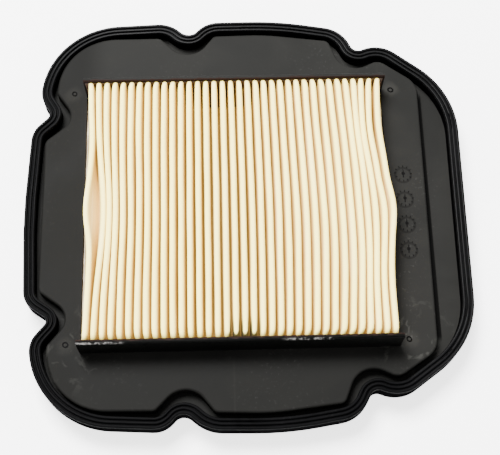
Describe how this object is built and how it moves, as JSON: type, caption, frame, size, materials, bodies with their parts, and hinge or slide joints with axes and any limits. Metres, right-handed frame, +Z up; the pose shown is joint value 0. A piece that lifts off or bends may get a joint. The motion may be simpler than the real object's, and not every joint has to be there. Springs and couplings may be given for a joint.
{
  "type": "panel air filter",
  "caption": "Flat panel air filter: a rectangular pack of folded paper in a moulded plastic frame with a notched, rubber-sealed rim.",
  "frame": {"origin": "middle of the part's bounding box in X and Y, at the foot of the skirt in Z", "axes": "+Z up, towards the dirty side where the tips of the folds stand; +Y along the folds; +X across the folds, towards the side of the rim with the wide low strip"},
  "size_m": [0.2342, 0.2312, 0.036],
  "materials": {
    "frame_plastic": "semi-matt moulded",
    "seal_rubber": "smooth black rubber",
    "filter_paper": "resin-treated filter paper",
    "potting_resin": "cured brown resin",
    "glue_bead": "hot-melt glue",
    "screen_wire": "zinc-coated wire"
  },
  "bodies": {
    "root": {"frame": "frame_plastic", "perimeter_seal": "seal_rubber", "pleated_media": "filter_paper", "potting_north": "potting_resin", "potting_south": "potting_resin", "side_bead_west": "glue_bead", "side_bead_east": "glue_bead", "screen_lower_wires": "screen_wire", "screen_upper_wires": "screen_wire"}
  },
  "joints": []
}
